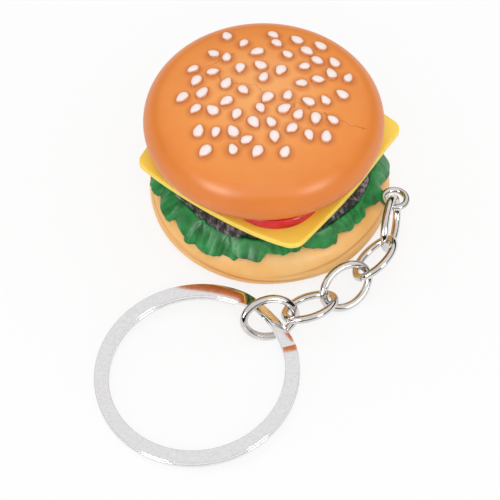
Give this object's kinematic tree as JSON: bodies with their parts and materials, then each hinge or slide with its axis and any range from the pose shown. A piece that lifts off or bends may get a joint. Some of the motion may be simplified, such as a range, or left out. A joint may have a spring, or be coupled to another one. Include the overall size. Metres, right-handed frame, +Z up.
{
  "type": "hamburger key chain",
  "caption": "Key chain with a small moulded hamburger, seeded bun, lettuce, patty, cheese and tomato, hung from an eye pin on a short oval-link chain with a flat split key ring.",
  "frame": {"origin": "middle of the bottom bun's flat underside", "axes": "+Z up through the stack; the eye pin leaves the bun at the right, towards +X; the chain and ring lie in front, towards -Y"},
  "size_m": [0.0471, 0.0693, 0.0251],
  "materials": {
    "bun_top": "satin, fine hairline crazing",
    "bun_base": "satin",
    "lettuce": "satin, ribbed",
    "patty": "rough, wrinkled",
    "cheese": "satin",
    "tomato": "glossy",
    "seed": "satin",
    "nickel": "polished nickel plate"
  },
  "bodies": {
    "burger": {"bottom_bun": "bun_base", "lettuce": "lettuce", "patty": "patty", "cheese_slice": "cheese", "tomato_slice_front": "tomato", "tomato_slice_right": "tomato", "tomato_slice_back": "tomato", "tomato_slice_left": "tomato", "top_bun": "bun_top", "sesame_seeds": "seed", "eye_pin": "nickel"},
    "link_1": {"chain_link_1": "nickel"},
    "link_2": {"chain_link_2": "nickel"},
    "link_3": {"chain_link_3": "nickel"},
    "link_4": {"chain_link_4": "nickel"},
    "link_5": {"chain_link_5": "nickel"},
    "ring": {"split_ring": "nickel"}
  },
  "joints": [
    {"name": "eye_hinge", "type": "hinge", "parent": "burger", "child": "link_1", "pos_m": [0.01897, -0.00725, 0.00642], "axis": [0.9992, -0.0355, -0.0169], "range_deg": [-20, 5]},
    {"name": "link_hinge_2", "type": "hinge", "parent": "link_1", "child": "link_2", "pos_m": [0.01741, -0.01343, 0.00461], "axis": [0.2558, 0.1838, -0.9491], "range_deg": [-15, 2]},
    {"name": "link_hinge_3", "type": "hinge", "parent": "link_2", "child": "link_3", "pos_m": [0.01345, -0.01859, 0.00391], "axis": [0.562, -0.493, 0.6641], "range_deg": [-6, 60]},
    {"name": "link_hinge_4", "type": "hinge", "parent": "link_3", "child": "link_4", "pos_m": [0.0081, -0.02218, 0.00287], "axis": [0.4336, -0.3762, -0.8188], "range_deg": [-60, 6]},
    {"name": "link_hinge_5", "type": "hinge", "parent": "link_4", "child": "link_5", "pos_m": [0.00231, -0.02514, 0.00287], "axis": [0.4073, -0.7834, 0.4694], "range_deg": [-12, 40]},
    {"name": "ring_hinge", "type": "hinge", "parent": "link_5", "child": "ring", "pos_m": [-0.00012, -0.02556, 0.00344], "axis": [0.6428, -0.766, 0], "range_deg": [-40, 30]}
  ]
}
